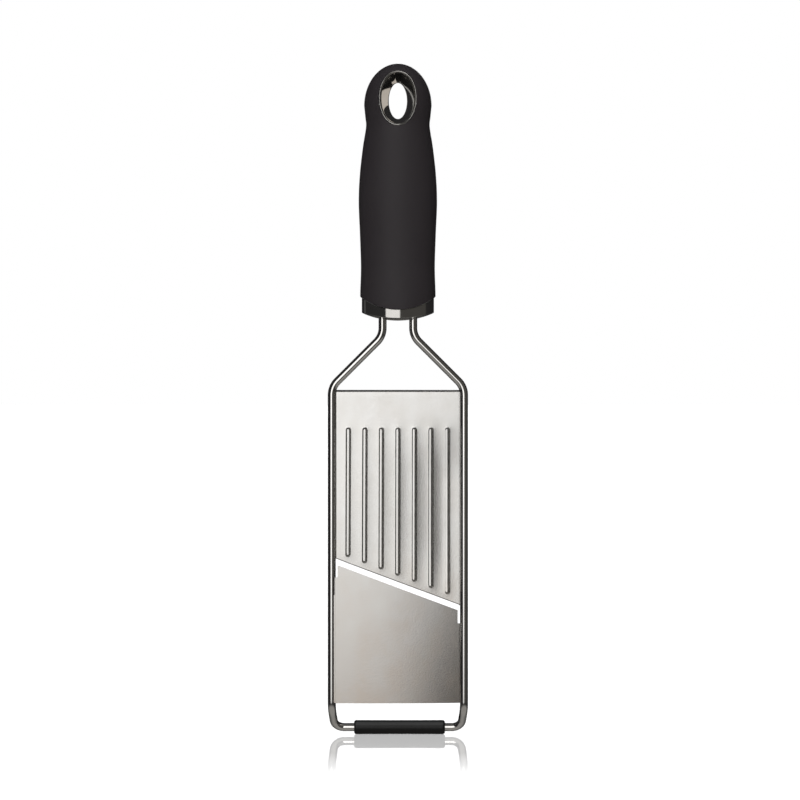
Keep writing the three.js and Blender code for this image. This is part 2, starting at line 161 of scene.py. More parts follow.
PLUG_BORE = WIRE_RADIUS + 0.12

# Hanging hole: an oval waist, and a liner whose sizes across are offsets outwards from that oval
HOLE_HALF_WIDTH = 4.6
HOLE_HALF_HEIGHT = 8.95
WAIST_LIP = -0.2  # how far the liner's waist stands into the hole
THROAT = 0.16  # share of the flare's length over which it curves out of the waist
SHOULDER = 0.75  # width and depth of the roll between the flare and the rim
SHOULDER_DROP = 1.3
RIM_OFFSET = 4.38
RIM_WIDTH = 0.5
RIM_PROUD = 0.2  # how far the rim stands out of the grip
RIM_CROWN = 0.1
RIM_SKIRT = 1.5
HOLE_CLEARANCE = 0.1  # between the rim and the grip
HOLE_LIP = 0.3  # rounding of the grip's edge beside the rim
GAP = 0.3  # between the liner's two halves


# ---- scene and mesh helpers

def unit(v):
    """The vector, or each row of vectors, scaled to a length of 1."""
    return v / np.linalg.norm(v, axis=-1, keepdims=True)


def grid_faces(rows, columns, start=0, wrap=False):
    """Quads over a grid of vertices numbered row by row."""
    faces = []
    for r in range(rows - 1):
        for c in range(columns if wrap else columns - 1):
            right = (c + 1) % columns
            a, b = start + r * columns, start + (r + 1) * columns
            faces.append((a + c, a + right, b + right, b + c))
    return faces


def hoop_faces(rings, around):
    """Quads over rings of vertices, with the last ring joined to the first."""
    last = (rings - 1) * around
    closing = [(last + i, last + (i + 1) % around, (i + 1) % around, i) for i in range(around)]
    return grid_faces(rings, around, wrap=True) + closing


def fan(tip, first, around):
    """Triangles from a tip to the ring that starts at vertex first."""
    return [(tip, first + i, first + (i + 1) % around) for i in range(around)]


def end_caps(count, around):
    """Faces that close the first and last ring of a tube with count vertices."""
    return [tuple(range(around)), tuple(range(count - around, count))]


def scene_object(name, data):
    """A new object in the scene: a mesh, a light or a camera."""
    made = bpy.data.objects.new(name, data)
    bpy.context.scene.collection.objects.link(made)
    return made


def mesh_object(name, points, faces):
    """An object with a mesh of its own, from points in millimetres."""
    mesh = bpy.data.meshes.new(name)
    mesh.from_pydata((np.asarray(points) * MM).tolist(), [], faces)
    return scene_object(name, mesh)


def make_piece(name, points, faces, material, uv=None, sharp=30):
    """A visible piece. Edges that turn more than sharp degrees stay crisp."""
    piece = mesh_object(name, points, faces)
    if uv is not None:
        layer = piece.data.uv_layers.new(name="surface")
        for loop in piece.data.loops:
            layer.data[loop.index].uv = uv[loop.vertex_index]
    piece.data.materials.append(material)
    tidy_mesh(piece, sharp)
    return piece


def tidy_mesh(piece, sharp):
    """Welds doubles, turns faces outwards, and marks smooth faces with crisp folds."""
    work = bmesh.new()
    work.from_mesh(piece.data)
    bmesh.ops.remove_doubles(work, verts=work.verts, dist=0.002 * MM)
    bmesh.ops.dissolve_degenerate(work, edges=work.edges, dist=0.001 * MM)
    bmesh.ops.recalc_face_normals(work, faces=work.faces)
    for face in work.faces:
        face.smooth = True
    for edge in work.edges:
        edge.smooth = len(edge.link_faces) == 2 and edge.calc_face_angle() < math.radians(sharp)
    work.to_mesh(piece.data)
    work.free()
    piece.data.update()


def stand_for(piece, *nodes):
    """Puts a piece in place of its CAD nodes, on the root body."""
    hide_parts(*nodes)
    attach(piece, "root")
    return piece


def apply_modifiers(piece):
    """Leaves the piece's finished shape in its own mesh."""
    graph = bpy.context.evaluated_depsgraph_get()
    made = bpy.data.meshes.new_from_object(piece.evaluated_get(graph))
    piece.modifiers.clear()
    piece.data = made


def cut(piece, *solids):
    """Takes the solids out of the piece, and removes them."""
    for solid in solids:
        modifier = piece.modifiers.new("cut", "BOOLEAN")
        modifier.operation = "DIFFERENCE"
        modifier.solver = "EXACT"
        modifier.object = solid
    apply_modifiers(piece)
    for solid in solids:
        bpy.data.objects.remove(solid)


def cutter(points, faces):
    """A solid that is only taken out of another."""
    solid = mesh_object("cutter", points, faces)
    work = bmesh.new()
    work.from_mesh(solid.data)
    bmesh.ops.recalc_face_normals(work, faces=work.faces)
    work.to_mesh(solid.data)
    work.free()
    return solid


def upright_rod(x, radius, low, high, sides=48):
    """A cutter for an upright round hole, centred on the handle's middle plane."""
    turn = np.linspace(0, 2 * math.pi, sides, endpoint=False)
    outline = np.stack([x + radius * np.cos(turn), radius * np.sin(turn)], axis=1)
    points = np.concatenate([np.insert(outline, 2, end, axis=1) for end in (low, high)])
    return cutter(points, grid_faces(2, sides, wrap=True) + end_caps(2 * sides, sides))


# ---- wire frame and foot sleeve

def rounded_path(corners, steps=18, stride=4):
    """Points along straight runs between corners, each corner rounded to its own radius."""
    points = [corners[0][0]]
    for (before, _), (at, radius), (after, _) in zip(corners, corners[1:], corners[2:]):
        into, out = unit(at - before), unit(after - at)
        angle = math.acos(np.dot(into, out))
        centre = at + unit(out - into) * radius / math.cos(angle / 2)
        spoke = at - into * radius * math.tan(angle / 2) - centre
        for turn in np.linspace(0, angle, steps):
            points.append(centre + spoke * math.cos(turn) + into * radius * math.sin(turn))
    points.append(corners[-1][0])
    fine = [points[0]]
    for start, end in zip(points, points[1:]):
        pieces = max(1, round(np.linalg.norm(end - start) / stride))
        fine += [start + (end - start) * k / pieces for k in range(1, pieces + 1)]
    return np.array(fine)


def swept_tube(path, radii, sides):
    """Vertices, faces and surface coordinates of a round rod along a path, closed at both ends."""
    runs = unit(np.diff(path, axis=0))
    tangents = unit(np.vstack([runs[:1], runs[:-1] + runs[1:], runs[-1:]]))
    normal = np.array([0, -1.0, 0])
    angles = np.linspace(0, 2 * math.pi, sides, endpoint=False)
    lengths = np.concatenate([[0], np.cumsum(np.linalg.norm(np.diff(path, axis=0), axis=1))])
    points, uv = [], []
    for place, tangent, radius, length in zip(path, tangents, radii, lengths):
        normal = unit(normal - tangent * np.dot(normal, tangent))
        side = np.cross(tangent, normal)
        for angle in angles:
            points.append(place + radius * (math.cos(angle) * normal + math.sin(angle) * side))
            uv.append((math.sin(angle / 2) * WIRE_RADIUS * 2, length))
    faces = grid_faces(len(path), sides, wrap=True) + end_caps(len(points), sides)
    return points, faces, uv


def wire_frame(material):
    """One bent wire: down from the neck, round the foot and up again, with both ends in the handle."""
    half = [
        (np.array([NECK_X, 0, wire_high[2]]), 0),
        (np.array([NECK_X, 0, NECK_CORNER_Z]), SHOULDER_RADIUS),
        (np.array([LEG_X, 0, SHOULDER_CORNER_Z]), SHOULDER_RADIUS),
        (np.array([LEG_X, 0, KICK_CORNER_Z]), KICK_RADIUS),
        (np.array([FOOT_CORNER_X, FOOT_Y, FOOT_BAR_Z]), FOOT_CORNER_RADIUS),
    ]
    left = [(at * (-1, 1, 1), radius) for at, radius in half]
    path = rounded_path(left + half[::-1])
    ends = path[[0, -1]] - (0, 0, WIRE_CHAMFER)
    path = np.vstack([path[:1], ends[:1], path[1:-1], ends[1:], path[-1:]])
    radii = np.full(len(path), WIRE_RADIUS + WIRE_FULLNESS)
    radii[[0, -1]] -= WIRE_CHAMFER
    points, faces, uv = swept_tube(path, radii, WIRE_SIDES)
    piece = make_piece("wire_frame_fine", points, faces, material, uv)
    return stand_for(piece, "wire_frame")


def turned(profile, sides):
    """Vertices and faces of a closed profile of (x, radius) points turned about the X axis."""
    angles = np.linspace(0, 2 * math.pi, sides, endpoint=False)
    points = [(x, r * math.cos(a), r * math.sin(a)) for x, r in profile for a in angles]
    return np.array(points), hoop_faces(len(profile), sides)


def foot_sleeve(material):
    """A rubber tube on the foot's crossbar, with rounded ends."""
    radius = (sleeve_high[2] - sleeve_low[2]) / 2
    bore = WIRE_RADIUS + WIRE_FULLNESS
    left, right = sleeve_low[0], sleeve_high[0]
    edge = 1.1  # rounding of its ends
    waist = 0.06  # the tube is a little slimmer in the middle than at its ends
    turns = np.linspace(0, math.pi / 2, 9)
    end = [(edge * (1 - math.cos(t)), radius - edge * (1 - math.sin(t))) for t in turns]
    profile = [(left, bore)] + [(left + along, out) for along, out in end]
    for x in np.linspace(left + edge, right - edge, 46)[1:-1]:
        profile.append((x, radius - waist * math.sin(math.pi * (x - left) / (right - left))))
    profile += [(right - along, out) for along, out in end[::-1]] + [(right, bore)]
    points, faces = turned(profile, 72)
    points += (0, FOOT_Y, FOOT_BAR_Z)
    piece = make_piece("foot_sleeve_fine", points, faces, material, sharp=40)
    return stand_for(piece, "foot_sleeve")


# ---- ramp plate

def eased(share):
    """Smooth step from 0 to 1."""
    share = np.clip(share, 0, 1)
    return share * share * (3 - 2 * share)


def rounded_edge(distance, radius):
    """How far a sheet's face falls away at a distance from its rounded edge."""
    return radius - np.sqrt(np.maximum(radius ** 2 - np.clip(radius - distance, 0, radius) ** 2, 0))


def shell_piece(name, front, back, material, absent=()):
    """A thick sheet from its front and back grids of points. No face stands at the absent cells."""
    rows, columns = front.shape[:2]
    points = np.concatenate([front.reshape(-1, 3), back.reshape(-1, 3)])
    behind = rows * columns
    faces = []
    for r in range(rows - 1):
        for c in range(columns - 1):
            if (r, c) in absent:
                continue
            a, b = r * columns + c, r * columns + c + 1
            d, e = a + columns, b + columns
            faces.append((a, b, e, d))
            faces.append((behind + a, behind + d, behind + e, behind + b))
            for (p, q), outer in (
                ((a, b), r == 0), ((e, d), r == rows - 2), ((d, a), c == 0), ((b, e), c == columns - 2),
            ):
                if outer:
                    faces.append((q, p, behind + p, behind + q))
    return make_piece(name, points, faces, material, sharp=50)


RIB_MIDDLES = (np.arange(RIB_COUNT) - (RIB_COUNT - 1) / 2) * RIB_PITCH


def rib_runs(index):
    """Widths of a rib's left and right sides. The left ones get steeper towards the right."""
    share = index / (RIB_COUNT - 1)
    return [first + (last - first) * share for first, last in (RIB_LEFT_RUN, RIB_RIGHT_RUN)]


def ramp_edge(x):
    """Height of the ramp's slanted lower edge."""
    return RAMP_EDGE_MIDDLE_Z - x * SLOT_SLOPE


def rib_height(x, z, inset=0.0):
    """Height of the ribs over the sheet, with round ends. The groove behind is narrower by inset."""
    index = np.clip(np.round((x - RIB_MIDDLES[0]) / RIB_PITCH), 0, RIB_COUNT - 1).astype(int)
    middle = RIB_MIDDLES[index]
    left, right = rib_runs(index)
    low = ramp_edge(middle) + RIB_MARGIN + RIB_REACH
    high = RIB_TOP_Z - RIB_REACH
    along = np.maximum(np.maximum(low - z, z - high), 0)
    across = x - middle - (left - right) / 2
    distance = np.hypot(across, along)
    run = left + (right - left) * (1 + across / np.maximum(distance, 1e-6)) / 2
    rib = RIB_HEIGHT * eased((RIB_CREST - inset + run - distance) / run)
    outside = np.maximum(distance - RIB_CREST - run, 0)
    tilt = RIB_TILT[0] + (RIB_TILT[1] - RIB_TILT[0]) * index / (RIB_COUNT - 1)
    rib = rib * (1 + tilt * np.clip(across, -RIB_CREST, RIB_CREST))
    return rib + RIB_SKIRT * np.exp(-outside / RIB_SKIRT_RUN)


def rib_lean(x, z):
    """Sideways shift that sets the left ribs a little off upright."""
    share = np.interp(x, (-RAMP_LEFT[0], RIB_MIDDLES[0], RIB_MIDDLES[-1]), (0, 1, 0))
    most, height = RIB_LEAN
    return -most * share * np.clip((RIB_TOP_Z - z) / height, 0, 1)


def swell(x, slopes, places):
    """Depth across a slack sheet whose slope, in degrees, changes evenly between places."""
    across = np.linspace(places[0], places[-1], 240)
    slope = np.radians(np.interp(across, places, slopes))
    depth = np.concatenate([[0], np.cumsum((slope[1:] + slope[:-1]) / 2 * np.diff(across))])
    return np.interp(x, across, depth - depth.min())


def ramp_swell(x, z):
    """The ramp is flat near its top. Further down it bows, with a crease near its right side."""
    bowed = swell(x, RAMP_BOW, RAMP_BOW_PLACES)
    least, edge_run = RAMP_BOW_EDGE
    near_edge = least + (1 - least) * eased((z - ramp_edge(x)) / edge_run)
    start, head_run = RAMP_BOW_HEAD
    return bowed * eased((start - z) / head_run) * near_edge


def ramp_columns(depth):
    """Places across the unfolded sheet, close together over each rib and round each bend."""
    flank = np.array([0.1, 0.25, 0.4, 0.6, 0.75, 0.9, 1.0])  # shares of the way down a rib's side
    skirt = np.array([0.25, 0.7, 1.4, 2.2])  # distances past its foot
    past_ribs = RIB_MIDDLES[-1] + RIB_REACH + 2.6
    places = []
    for index, middle in enumerate(RIB_MIDDLES):
        left, right = rib_runs(index)
        crest = middle + (left - right) / 2
        places += [crest + np.linspace(-RIB_CREST, RIB_CREST, 6)]
        places += [crest + RIB_CREST + right * flank, crest - RIB_CREST - left * flank]
        places += [crest + RIB_CREST + right + skirt, crest - RIB_CREST - left - skirt]
    for side, (flat, radius) in ((-1, RAMP_LEFT), (1, RAMP_RIGHT)):
        arc = radius * math.pi / 2
        margin = np.linspace(past_ribs, flat, 4)
        bend = flat + np.linspace(0, arc, 8)[1:]
        flange = flat + arc + np.linspace(0, depth - radius, 4)[1:]
        places += [side * margin, side * bend, side * flange]
    return np.sort(np.concatenate(places))


def fold(distance, radius):
    """Reach, depth and turn of a sheet at a distance past the line where it starts to bend back."""
    past = np.maximum(distance, 0)
    turn = np.minimum(past / radius, math.pi / 2)
    rest = np.maximum(past - radius * math.pi / 2, 0)
    return np.minimum(distance, 0) + radius * np.sin(turn), radius * (1 - np.cos(turn)), rest, turn


def ramp_plate(material):
    """The upper sheet: ribbed, bowed, and folded back at both sides and the top."""
    depth = ramp_high[1] - RAMP_FRONT_Y
    across = ramp_columns(depth)
    flat_x, side_bend = [np.where(across < 0, *sides) for sides in zip(RAMP_LEFT, RAMP_RIGHT)]
    side_arc, top_arc = side_bend * math.pi / 2, RAMP_TOP_BEND * math.pi / 2
    side_flange, top_flange = depth - side_bend, depth - RAMP_TOP_BEND
    flat_top = ramp_high[2] - RAMP_TOP_BEND
    # rows run along the slanted edge near the foot, and level higher up
    rounding = (0, 0.04, 0.1, 0.18, 0.3)
    foot = np.concatenate([rounding, np.linspace(0.6, RIB_MARGIN + 2 * RIB_REACH + 0.6, 26)])
    head = RIB_TOP_Z + np.linspace(-2 * RIB_REACH - 0.4, 0.8, 20)
    top = np.linspace(head[-1], flat_top, 9)[1:]
    bend = flat_top + np.linspace(0, top_arc, 10)[1:]
    flange = flat_top + top_arc + np.linspace(0, top_flange, 4)[1:]
    reach, side_depth, side_rest, side_turn = fold(np.abs(across) - flat_x, side_bend)
    x = np.sign(across) * (flat_x + reach)
    edge = ramp_edge(x)
    rows = [edge + d for d in foot]
    rows += [(edge + foot[-1]) * (1 - s) + head[0] * s for s in np.linspace(0, 1, 40)[1:-1]]
    rows += [np.full(len(x), z) for z in np.concatenate([head, top, bend, flange])]
    height = np.array(rows)
    x = np.broadcast_to(x, height.shape)
    rise, top_depth, top_rest, top_turn = fold(height - flat_top, RAMP_TOP_BEND)
    z = flat_top + rise
    # both flanges end at the same depth, so each is shortened by what the other's bend has used
    folded = side_depth + top_depth
    folded = folded + side_rest * (1 - top_depth / side_flange)
    folded = folded + top_rest * (1 - side_depth / top_flange)
    round_off = rounded_edge((height - edge) / math.hypot(1, SLOT_SLOPE), RAMP_EDGE_ROUND)
    base = RAMP_FRONT_Y + folded + ramp_swell(x, z)
    leaning = x + rib_lean(x, z)
    front = np.stack([leaning, base - rib_height(x, z) + round_off, z], axis=2)
    facing = np.cos(side_turn) * np.cos(top_turn)
    inner = SHEET - 2 * round_off
    back = np.stack([
        leaning - inner * np.sin(side_turn) * np.sign(across),
        base + round_off + inner * facing - GROOVE_DEPTH * rib_height(x, z, GROOVE_INSET),
        z - inner * np.sin(top_turn),
    ], axis=2)
    # where both flanges would meet there is only their shared corner line
    slack = 0.001
    past_side = np.abs(across) > flat_x + side_arc - slack
    past_top = height[:, 0] > flat_top + top_arc - slack
    absent = {(r, c) for r in range(len(height) - 1) for c in range(len(across) - 1)
              if past_top[r] and past_side[c] and past_side[c + 1]}
    piece = shell_piece("ramp_plate_fine", front, back, material, absent)
    return stand_for(piece, "ramp_plate")


# ---- blade plate

def blade_top(x):
    """Upper edge of the blade plate: slanted, and cut away beside each wire."""
    edge = BLADE_EDGE_MIDDLE_Z - x * SLOT_SLOPE
    edge = np.where(x < LEFT_NOTCH[0], LEFT_NOTCH[1], edge)
    edge = np.where(x < LEFT_TRIM[0], LEFT_TRIM[1], edge)
    return np.where(x > RIGHT_NOTCH[0], RIGHT_NOTCH[1], edge)


def blade_plate(material):
    """The lower sheet: its sides lie on the wires, and its slanted top is ground to an edge."""
    cliff = 0.01  # half width of the step in the outline at a notch
    flat = np.linspace(-BLADE_JOGGLE[0], BLADE_JOGGLE[0], 60)
    side = np.linspace(BLADE_JOGGLE[0], BLADE_HALF_WIDTH, 13)[1:]
    steps = (LEFT_NOTCH, LEFT_TRIM, RIGHT_NOTCH)
    notches = [place + way * cliff for place, _ in steps for way in (-1, 1)]
    across = np.unique(np.concatenate([flat, side, -side, notches]))
    from_side = BLADE_HALF_WIDTH - np.abs(across)
    low = blade_low[2] + rounded_edge(from_side, BLADE_CORNER)
    high = blade_top(across)
    edge_rows = np.array([0, 0.015, 0.03, 0.05, 0.08, 0.25])
    ground_rows = np.array([3.4, 2.9, 2.6, 2.4, 1.6, 0.8])
    rows = [low + d for d in edge_rows]
    rows += [(low + edge_rows[-1]) * (1 - s) + (high - ground_rows[0]) * s
             for s in np.linspace(0, 1, 36)[1:-1]]
    rows += [high - d for d in np.concatenate([ground_rows, edge_rows[::-1]])]
    z = np.array(rows)
    x = np.broadcast_to(across, z.shape)
    lower = (blade_high[2] - z) / (blade_high[2] - blade_low[2])
    start, width, step_back = BLADE_JOGGLE
    places = (-start, 0, start)
    bowed = swell(x, BLADE_BOW_HEAD, places) * (1 - lower) + swell(x, BLADE_BOW_FOOT, places) * lower
    stepped = step_back * eased((np.abs(x) - start) / width)
    round_off = rounded_edge(np.minimum(z - low, high - z), BLADE_EDGE_ROUND)
    y = blade_low[1] + BLADE_LEAN * (lower - BLADE_PIVOT) + bowed + stepped
    front = np.stack([x, y + round_off, z], axis=2)
    # the wedge ground off behind the cutting edge
    below_edge = (BLADE_EDGE_MIDDLE_Z - x * SLOT_SLOPE - z) / math.hypot(1, SLOT_SLOPE)
    thick = np.interp(below_edge, (0, BLADE_GRIND), (BLADE_LAND, SHEET)) - round_off
    back = np.stack([x, y + thick, z], axis=2)
    piece = shell_piece("blade_plate_fine", front, back, material)
    return stand_for(piece, "blade_plate")


# ---- handle

def spline_outline():
    """The outline below the knob as close samples of a Catmull-Rom spline: heights and half widths."""
    knots = np.array(OUTLINE, float)
    knots = np.vstack([knots[0], knots, knots[-1]])
    samples = []
    for i in range(1, len(knots) - 2):
        before, start, end, after = knots[i - 1:i + 3]
        for t in np.linspace(0, 1, 24, endpoint=False):
            samples.append(0.5 * (2 * start + (end - before) * t
                                  + (2 * before - 5 * start + 4 * end - after) * t ** 2
                                  + (3 * start - before - 3 * end + after) * t ** 3))
    samples.append(knots[-1])
    samples = np.array(samples)
    return samples[:, 1] + FOOT_Z, samples[:, 0]


OUTLINE_Z, OUTLINE_WIDTH = spline_outline()


def half_width(z):
    """The handle's half width at a height."""
    rise = np.clip((z - KNOB_Z) / KNOB_HALF_HEIGHT, 0, 1)
    knob = KNOB_HALF_WIDTH * np.sqrt(1 - rise ** 2)
    return np.where(z < KNOB_Z, np.interp(z, OUTLINE_Z, OUTLINE_WIDTH), knob)


def arch(edge, x):
    """Height of an arched lower edge at a distance from the centre plane."""
    low, radius = edge
    return low + radius - np.sqrt(radius ** 2 - np.minimum(np.abs(x), radius * 0.98) ** 2)


def oval(angle, z, inset=0.0):
    """Points of the handle's oval surface, or inside it by inset. Angles turn from +X towards -Y."""
    width = half_width(z)
    return np.array([
        (width - inset) * np.cos(angle),
        -(width * DEPTH_RATIO - inset) * np.sin(angle),
        z * np.ones_like(angle),
    ]).T


def soft_grip(material):
    """The rubber skin of the handle, open at its arched lower edge, with the hanging hole cut out."""
    around = 144
    angles = np.linspace(0, 2 * math.pi, around, endpoint=False)
    edge_x = half_width(GRIP_EDGE[0]) * np.cos(angles)
    lip_z = arch(GRIP_EDGE, edge_x)
    rings = []
    # inside, from the top down
    for t in np.linspace(0, 1, 14)[1:]:
        a = math.pi / 2 * (1 - t)
        z = KNOB_Z + (KNOB_HALF_HEIGHT - GRIP_WALL) * math.sin(a)
        width = (KNOB_HALF_WIDTH - GRIP_WALL) * math.cos(a)
        depth = (KNOB_HALF_WIDTH * DEPTH_RATIO - GRIP_WALL) * math.cos(a)
        rings.append(np.array([width * np.cos(angles), -depth * np.sin(angles), np.full(around, z)]).T)
    for z in np.linspace(KNOB_Z, GRIP_LEVEL, 40)[1:]:
        rings.append(oval(angles, np.full(around, z), GRIP_WALL))
    for s in np.linspace(1, 0, 9)[1:]:
        rings.append(oval(angles, lip_z * (1 - s) + GRIP_LEVEL * s, GRIP_WALL))
    # round the lip
    for a in np.linspace(math.pi / 2, 0, 7):
        rings.append(oval(angles, lip_z + GRIP_LIP * (1 - math.sin(a)), GRIP_LIP * (1 - math.cos(a))))
    # outside, from the lip up
    for s in np.linspace(0, 1, 12)[1:]:
        rings.append(oval(angles, (lip_z + GRIP_LIP) * (1 - s) + GRIP_LEVEL * s))
    for z in np.linspace(GRIP_LEVEL, KNOB_Z, 84)[1:]:
        rings.append(oval(angles, np.full(around, z)))
    for t in np.linspace(0, 1, 34)[1:-1]:
        a = math.pi / 2 * t
        rings.append(oval(angles, np.full(around, KNOB_Z + KNOB_HALF_HEIGHT * math.sin(a))))
    top = KNOB_Z + KNOB_HALF_HEIGHT
    points = np.concatenate([[[0, 0, top - GRIP_WALL]], *rings, [[0, 0, top]]])
    last = len(points) - 1
    faces = grid_faces(len(rings), around, 1, wrap=True)
    faces += fan(0, 1, around) + fan(last, last - around, around)
    piece = make_piece("soft_grip_fine", points, faces, material)
    cut(piece, hole_cutter(RIM_OFFSET + HOLE_CLEARANCE, HOLE_LIP))
    tidy_mesh(piece, sharp=32)
    return stand_for(piece, "soft_grip")


def hole_point(angle, offset):
    """Point of the hanging hole's oval, pushed outwards by offset: X and Z by angle."""
    x, z = HOLE_HALF_WIDTH * np.sin(angle), HOLE_HALF_HEIGHT * np.cos(angle)
    out = unit(np.stack([x / HOLE_HALF_WIDTH ** 2, z / HOLE_HALF_HEIGHT ** 2], axis=-1))
    return x + offset * out[..., 0], z + offset * out[..., 1]


def face_depth(x, z):
    """Depth of the knob's face in front of the centre plane."""
    return DEPTH_RATIO * np.sqrt(np.maximum(half_width(z) ** 2 - x ** 2, 0))


def hole_cutter(offset, lip):
    """An oval bar that also rounds the edge it leaves in the handle's front and back faces."""
    beyond = 5  # how far the bar's ends stand out of the handle
    around = 160
    angles = np.linspace(0, 2 * math.pi, around, endpoint=False)
    depth = face_depth(*hole_point(angles, offset + lip))
    turns = np.linspace(math.pi / 2, 0, 5)
    profile = [(offset + lip, beyond)]
    profile += [(offset + lip * (1 - math.cos(t)), -lip * (1 - math.sin(t))) for t in turns]
    rings = []
    for side in (-1, 1):
        half = []
        for push, rise in profile:
            x, z = hole_point(angles, push)
            half.append(np.stack([x, side * (depth + rise), z], axis=1))
        rings += half if side < 0 else half[::-1]
    points = np.concatenate(rings)
    return cutter(points, grid_faces(len(rings), around, wrap=True) + end_caps(len(points), around))


def collar(material):
    """A thin polished band at the mouth of the handle, arched like the grip's edge above it."""
    around = 144
    angles = np.linspace(0, 2 * math.pi, around, endpoint=False)
    x = (half_width(COLLAR_EDGE[0]) - COLLAR_STEP) * np.cos(angles)
    low = arch(COLLAR_EDGE, x)
    seam = 0.05  # between the collar and the grip
    high = arch(GRIP_EDGE, x) - seam
    rings = []
    for a in np.linspace(math.pi / 2, 0, 6):
        inset = COLLAR_STEP + COLLAR_ROUND * (1 - math.cos(a))
        rings.append(oval(angles, low + COLLAR_ROUND * (1 - math.sin(a)), inset))
    for s in np.linspace(0, 1, 12)[1:]:
        rings.append(oval(angles, (low + COLLAR_ROUND) * (1 - s) + high * s, COLLAR_STEP))
    for s in np.linspace(1, 0, 5):
        rings.append(oval(angles, (low + COLLAR_BEVEL) * (1 - s) + high * s, GRIP_WALL))
    rings.append(oval(angles, low, GRIP_WALL - COLLAR_BEVEL))
    points, faces = np.concatenate(rings), hoop_faces(len(rings), around)
    piece = make_piece("collar_fine", points, faces, material)
    return stand_for(piece, "collar")


def neck_plug(material):
    """A polished disc just inside the collar's lower edge, with a way through for each wire."""
    around = 144
    angles = np.linspace(0, 2 * math.pi, around, endpoint=False)
    rim = oval(angles, np.full(around, PLUG_EDGE[0]), GRIP_WALL + PLUG_OVERLAP)
    rings = []
    for share in np.linspace(0.04, 1, 18):
        ring = rim * (share, share, 1)
        ring[:, 2] = arch(PLUG_EDGE, ring[:, 0])
        rings.append(ring)
    rim_z = rings[-1][:, 2]
    for share in (0.5, 1):
        ring = rim.copy()
        ring[:, 2] = rim_z * (1 - share) + PLUG_TOP_Z * share
        rings.append(ring)
    points = np.concatenate([*rings, [[0, 0, PLUG_TOP_Z]]])
    last = len(points) - 1
    faces = grid_faces(len(rings), around, wrap=True)
    faces += [tuple(range(around)), *fan(last, last - around, around)]
    piece = make_piece("neck_plug_fine", points, faces, material)
    low, high = PLUG_EDGE[0] - 12, PLUG_TOP_Z + 5  # well past the plug on both sides
    cut(piece, *[upright_rod(side * NECK_X, PLUG_BORE, low, high) for side in (-1, 1)])
    tidy_mesh(piece, sharp=30)
    return stand_for(piece, "neck_plug")


def hang_ring(name, node, side, material):
    """Half of the hole's liner: a flare from the waist, a rounded shoulder and a low, thin rim."""
    around = 176
    angles = np.linspace(0, 2 * math.pi, around, endpoint=False)
    depth = face_depth(*hole_point(angles, RIM_OFFSET)) + RIM_PROUD
    reach = RIM_OFFSET - RIM_WIDTH
    flare = reach - SHOULDER
    length = depth - SHOULDER_DROP - GAP / 2
    straight = 1 - THROAT / 2
    # the section from the waist out: offsets from the hole's oval, and depths all round it
    shape = [(RIM_OFFSET, GAP / 2)]
    for s in np.concatenate([np.linspace(0, THROAT, 7), np.linspace(THROAT, 1, 14)[1:]]):
        push = s * s / (2 * THROAT) if s < THROAT else s - THROAT / 2
        shape.append((WAIST_LIP + (flare - WAIST_LIP) * push / straight, GAP / 2 + length * s))
    # a smooth roll from the flare's end to the rim's inner edge
    brow = depth - RIM_CROWN
    bulge = 0.9  # how far the roll carries on along the flare's slope, as a share of its drop
    knee = flare + flare / (length.mean() * straight) * SHOULDER_DROP * bulge
    for t in np.linspace(0, 1, 11)[1:]:
        across = (1 - t) ** 2 * flare + 2 * t * (1 - t) * knee + t * t * reach
        shape.append((across, (1 - t) ** 2 * (depth - SHOULDER_DROP) + (1 - (1 - t) ** 2) * brow))
    for t in np.linspace(-1, 1, 9)[1:]:
        shape.append((reach + RIM_WIDTH * (1 + t) / 2, brow + RIM_CROWN * (1 - t * t)))
    shape.append((RIM_OFFSET, depth - RIM_SKIRT))
    rings = []
    for push, y in shape:
        x, z = hole_point(angles, push)
        rings.append(np.stack([x, side * y * np.ones(around), z], axis=1))
    points, faces = np.concatenate(rings), hoop_faces(len(rings), around)
    piece = make_piece(name, points, faces, material, sharp=38)
    return stand_for(piece, node)


# ---- materials

MIX_COLOURS = (6, 7)  # a colour mix node's two colour inputs, and its output
MIX_RESULT = 2


class Nodes:
    """A short way to write a node tree."""

    def __init__(self, tree):
        self.tree = tree

    def add(self, kind, **inputs):
        """A new node. Each input gets a value, or a link from another node's output."""
        node = self.tree.nodes.new(kind)
        for key, value in inputs.items():
            self.put(node, key.replace("_", " "), value)
        return node

    def put(self, node, key, value):
        """Sets or links one of a node's inputs."""
        socket = node.inputs[key]
        if isinstance(value, bpy.types.NodeSocket):
            self.tree.links.new(value, socket)
        else:
            socket.default_value = value

    def maths(self, operation, *values, kind="ShaderNodeMath"):
        """The result of an operation on numbers, or on vectors with a node of the vector kind."""
        node = self.add(kind)
        node.operation = operation
        for place, value in enumerate(values):
            self.put(node, place, value)
        return node.outputs[0]

    def step(self, value, at, softness, falling=False):
        """A smooth step from 0 to 1, or from 1 to 0, centred where the value passes a number."""
        node = self.add("ShaderNodeMapRange", Value=value, From_Min=at - softness,
                        From_Max=at + softness, To_Min=float(falling), To_Max=float(not falling))
        node.interpolation_type = "SMOOTHSTEP"
        return node.outputs["Result"]

    def mixed(self, share, first, second):
        """A mix of two shader nodes."""
        node = self.add("ShaderNodeMixShader", Fac=share)
        self.put(node, 1, first.outputs[0])
        self.put(node, 2, second.outputs[0])
        return node.outputs[0]


